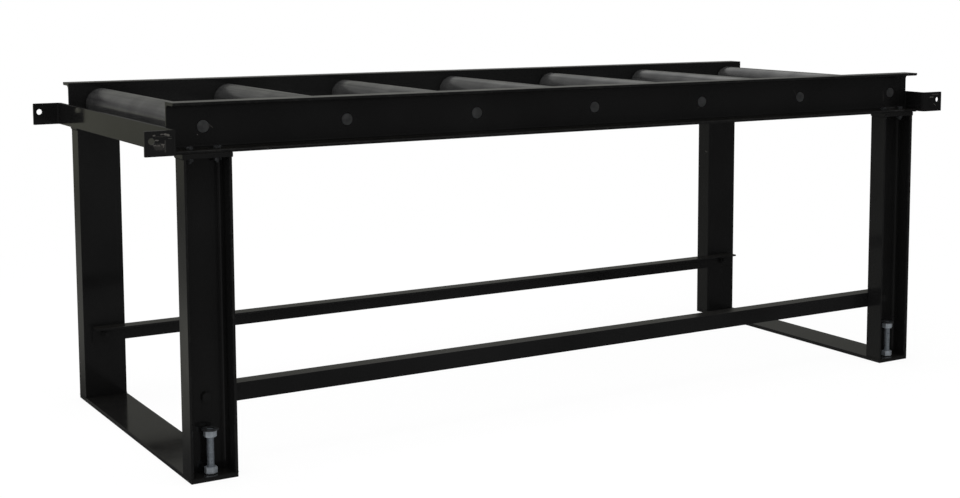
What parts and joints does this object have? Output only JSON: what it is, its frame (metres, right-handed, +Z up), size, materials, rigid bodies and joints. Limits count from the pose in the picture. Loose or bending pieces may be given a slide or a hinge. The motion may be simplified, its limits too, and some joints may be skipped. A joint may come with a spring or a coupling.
{
  "type": "outfeed table",
  "caption": "Long steel outfeed table: free-turning rollers between channel side rails on channel legs, with stretchers, levelling screws and drilled end tabs.",
  "frame": {"origin": "on the floor, under the middle of the table", "axes": "+X along the table, in the direction that stock travels, +Y across it from the near rail to the far rail, +Z up"},
  "size_m": [2.17, 0.84, 0.774],
  "materials": {
    "frame_paint": "gloss black enamel",
    "roller_paint": "satin dark grey paint, rubbed by stock",
    "machined_steel": "turned, oiled",
    "bearing_steel": "ground",
    "zinc_plate": "bright zinc plate",
    "fastener_paint": "black paint over hexagon bolts"
  },
  "bodies": {
    "frame": {"near_side_rail": "frame_paint", "near_stretcher": "frame_paint", "far_side_rail": "frame_paint", "far_stretcher": "frame_paint", "left_end_strap": "frame_paint", "left_base_plate": "frame_paint", "right_end_strap": "frame_paint", "right_base_plate": "frame_paint", "near_left_leg": "frame_paint", "near_left_cap_plate": "frame_paint", "far_left_leg": "frame_paint", "far_left_cap_plate": "frame_paint", "near_right_leg": "frame_paint", "near_right_cap_plate": "frame_paint", "far_right_leg": "frame_paint", "far_right_cap_plate": "frame_paint", "roller_shaft_1": "machined_steel", "roller_shaft_2": "machined_steel", "roller_shaft_3": "machined_steel", "roller_shaft_4": "machined_steel", "roller_shaft_5": "machined_steel", "roller_shaft_6": "machined_steel", "roller_shaft_7": "machined_steel", "bearing_inner_rings": "bearing_steel", "shaft_spacers": "machined_steel", "foot_nuts": "zinc_plate", "rail_bolts": "zinc_plate", "rail_nuts": "zinc_plate", "stretcher_bolts": "fastener_paint", "stretcher_nuts": "fastener_paint"},
    "roller_1": {"roller_tube_1": "roller_paint", "roller_hubs_1": "machined_steel", "roller_bearings_1": "bearing_steel"},
    "roller_2": {"roller_tube_2": "roller_paint", "roller_hubs_2": "machined_steel", "roller_bearings_2": "bearing_steel"},
    "roller_3": {"roller_tube_3": "roller_paint", "roller_hubs_3": "machined_steel", "roller_bearings_3": "bearing_steel"},
    "roller_4": {"roller_tube_4": "roller_paint", "roller_hubs_4": "machined_steel", "roller_bearings_4": "bearing_steel"},
    "roller_5": {"roller_tube_5": "roller_paint", "roller_hubs_5": "machined_steel", "roller_bearings_5": "bearing_steel"},
    "roller_6": {"roller_tube_6": "roller_paint", "roller_hubs_6": "machined_steel", "roller_bearings_6": "bearing_steel"},
    "roller_7": {"roller_tube_7": "roller_paint", "roller_hubs_7": "machined_steel", "roller_bearings_7": "bearing_steel"},
    "near_left_lift": {"near_left_top_washer": "zinc_plate"},
    "near_left_screw": {"near_left_levelling_screw": "zinc_plate"},
    "far_left_lift": {"far_left_top_washer": "zinc_plate"},
    "far_left_screw": {"far_left_levelling_screw": "zinc_plate"},
    "near_right_lift": {"near_right_top_washer": "zinc_plate"},
    "near_right_screw": {"near_right_levelling_screw": "zinc_plate"},
    "far_right_lift": {"far_right_top_washer": "zinc_plate"},
    "far_right_screw": {"far_right_levelling_screw": "zinc_plate"}
  },
  "joints": [
    {"name": "roller_spin_1", "type": "hinge", "parent": "frame", "child": "roller_1", "pos_m": [-0.9428, 0, 0.7215], "axis": [0, 1, 0], "continuous": true},
    {"name": "roller_spin_2", "type": "hinge", "parent": "frame", "child": "roller_2", "pos_m": [-0.6253, 0, 0.7215], "axis": [0, 1, 0], "continuous": true},
    {"name": "roller_spin_3", "type": "hinge", "parent": "frame", "child": "roller_3", "pos_m": [-0.3078, 0, 0.7215], "axis": [0, 1, 0], "continuous": true},
    {"name": "roller_spin_4", "type": "hinge", "parent": "frame", "child": "roller_4", "pos_m": [0.0097, 0, 0.7215], "axis": [0, 1, 0], "continuous": true},
    {"name": "roller_spin_5", "type": "hinge", "parent": "frame", "child": "roller_5", "pos_m": [0.3272, 0, 0.7215], "axis": [0, 1, 0], "continuous": true},
    {"name": "roller_spin_6", "type": "hinge", "parent": "frame", "child": "roller_6", "pos_m": [0.6447, 0, 0.7215], "axis": [0, 1, 0], "continuous": true},
    {"name": "roller_spin_7", "type": "hinge", "parent": "frame", "child": "roller_7", "pos_m": [0.9622, 0, 0.7215], "axis": [0, 1, 0], "continuous": true},
    {"name": "near_left_rise", "type": "slide", "parent": "frame", "child": "near_left_lift", "axis": [0, 0, 1], "range_m": [-0.06, 0.0138]},
    {"name": "near_left_turn", "type": "hinge", "parent": "near_left_lift", "child": "near_left_screw", "pos_m": [-0.9505, -0.374, 0.1007], "axis": [0, 0, 1], "range_deg": [-9360, 2160]},
    {"name": "far_left_rise", "type": "slide", "parent": "frame", "child": "far_left_lift", "axis": [0, 0, 1], "range_m": [-0.06, 0.0138]},
    {"name": "far_left_turn", "type": "hinge", "parent": "far_left_lift", "child": "far_left_screw", "pos_m": [-0.9505, 0.374, 0.1007], "axis": [0, 0, 1], "range_deg": [-9360, 2160]},
    {"name": "near_right_rise", "type": "slide", "parent": "frame", "child": "near_right_lift", "axis": [0, 0, 1], "range_m": [-0.06, 0.0138]},
    {"name": "near_right_turn", "type": "hinge", "parent": "near_right_lift", "child": "near_right_screw", "pos_m": [0.9505, -0.374, 0.1007], "axis": [0, 0, 1], "range_deg": [-9360, 2160]},
    {"name": "far_right_rise", "type": "slide", "parent": "frame", "child": "far_right_lift", "axis": [0, 0, 1], "range_m": [-0.06, 0.0138]},
    {"name": "far_right_turn", "type": "hinge", "parent": "far_right_lift", "child": "far_right_screw", "pos_m": [0.9505, 0.374, 0.1007], "axis": [0, 0, 1], "range_deg": [-9360, 2160]}
  ],
  "couplings": [
    {"joint": "near_left_turn", "follows": "near_left_rise", "rad_per_m": 2721.1},
    {"joint": "far_left_turn", "follows": "far_left_rise", "rad_per_m": 2721.1},
    {"joint": "near_right_turn", "follows": "near_right_rise", "rad_per_m": 2721.1},
    {"joint": "far_right_turn", "follows": "far_right_rise", "rad_per_m": 2721.1}
  ]
}
